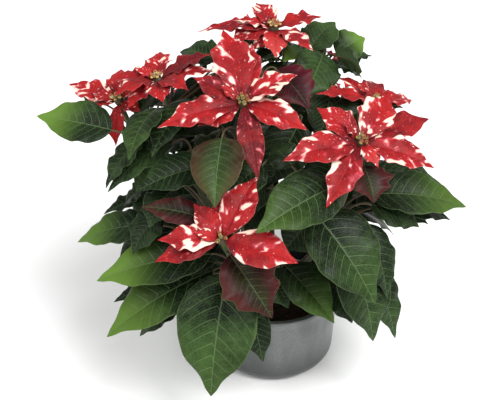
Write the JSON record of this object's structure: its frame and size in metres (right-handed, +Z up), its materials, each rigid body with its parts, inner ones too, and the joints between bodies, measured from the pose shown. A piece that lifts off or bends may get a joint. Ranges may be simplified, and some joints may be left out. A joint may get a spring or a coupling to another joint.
{
  "type": "potted poinsettia",
  "caption": "Pinched poinsettia in a plain round pot: leafy stems, each topped by a rosette of red bracts splashed with cream round a cluster of small yellow-green flowers.",
  "frame": {"origin": "centre of the pot's underside, on its vertical axis", "axes": "+Z up along the pot's axis; -Y towards the side that the picture was taken from; +X to that view's right"},
  "size_m": [0.4422, 0.394, 0.3792],
  "materials": {
    "pot": "satin",
    "soil": "rough",
    "trunk": "rough",
    "leaf": "satin",
    "bract": "satin",
    "cyathia": "satin"
  },
  "bodies": {
    "root": {"pot": "pot", "soil": "soil", "trunk": "trunk", "leaves_a": "leaf", "bracts_a": "bract", "cyathia_a": "cyathia", "leaves_b": "leaf", "bracts_b": "bract", "cyathia_b": "cyathia", "leaves_c": "leaf", "bracts_c": "bract", "cyathia_c": "cyathia", "leaves_d": "leaf", "bracts_d": "bract", "cyathia_d": "cyathia", "leaves_e": "leaf", "bracts_e": "bract", "cyathia_e": "cyathia", "leaves_f": "leaf", "bracts_f": "bract", "cyathia_f": "cyathia", "leaves_g": "leaf", "bracts_g": "bract", "cyathia_g": "cyathia", "leaves_j": "leaf", "bracts_j": "bract", "cyathia_j": "cyathia", "leaves_h": "leaf", "bracts_h": "bract", "cyathia_h": "cyathia", "leaves_i": "leaf", "bracts_i": "bract", "cyathia_i": "cyathia"}
  },
  "joints": []
}
